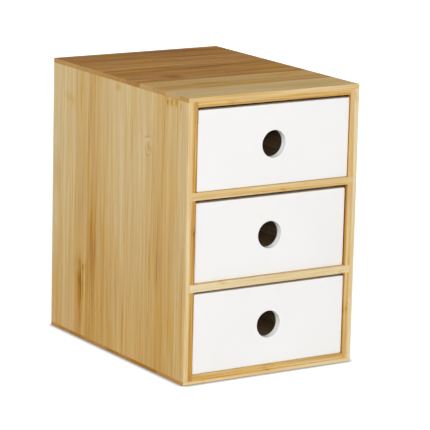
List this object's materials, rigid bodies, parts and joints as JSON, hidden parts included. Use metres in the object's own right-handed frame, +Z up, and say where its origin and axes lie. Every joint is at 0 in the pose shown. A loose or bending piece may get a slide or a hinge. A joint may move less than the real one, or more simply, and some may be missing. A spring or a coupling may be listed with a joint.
{
  "type": "desktop drawer unit",
  "caption": "Desktop drawer unit: a laminated bamboo carcass with shelves between stacked, inset white drawer fronts, each pulled out by a round finger hole.",
  "frame": {"origin": "on the floor, under the middle of the carcass", "axes": "+Z up, -Y out of the front, the way the drawers open, and +X to the right of someone facing the front"},
  "size_m": [0.181, 0.242, 0.2592],
  "materials": {
    "bamboo": "clear satin lacquer on laminated bamboo",
    "white_lacquer": "white satin lacquer on fibreboard",
    "drawer_wood": "plain sanded wood",
    "thin_ply": "plain sanded thin plywood",
    "steel": "bright wire brads"
  },
  "bodies": {
    "carcass": {"left_side_panel": "bamboo", "right_side_panel": "bamboo", "top_panel": "bamboo", "bottom_panel": "bamboo", "upper_shelf": "bamboo", "lower_shelf": "bamboo", "back_panel": "thin_ply", "back_panel_brads": "steel"},
    "top_drawer": {"top_drawer_front": "white_lacquer", "top_drawer_left_side": "drawer_wood", "top_drawer_right_side": "drawer_wood", "top_drawer_back": "drawer_wood", "top_drawer_bottom": "thin_ply", "top_drawer_brads": "steel"},
    "middle_drawer": {"middle_drawer_front": "white_lacquer", "middle_drawer_left_side": "drawer_wood", "middle_drawer_right_side": "drawer_wood", "middle_drawer_back": "drawer_wood", "middle_drawer_bottom": "thin_ply", "middle_drawer_brads": "steel"},
    "bottom_drawer": {"bottom_drawer_front": "white_lacquer", "bottom_drawer_left_side": "drawer_wood", "bottom_drawer_right_side": "drawer_wood", "bottom_drawer_back": "drawer_wood", "bottom_drawer_bottom": "thin_ply", "bottom_drawer_brads": "steel"}
  },
  "joints": [
    {"name": "top_drawer_slide", "type": "slide", "parent": "carcass", "child": "top_drawer", "axis": [0, -1, 0], "range_m": [-0.0019, 0.1881]},
    {"name": "middle_drawer_slide", "type": "slide", "parent": "carcass", "child": "middle_drawer", "axis": [0, -1, 0], "range_m": [0, 0.19]},
    {"name": "bottom_drawer_slide", "type": "slide", "parent": "carcass", "child": "bottom_drawer", "axis": [0, -1, 0], "range_m": [-0.00195, 0.18805]}
  ]
}
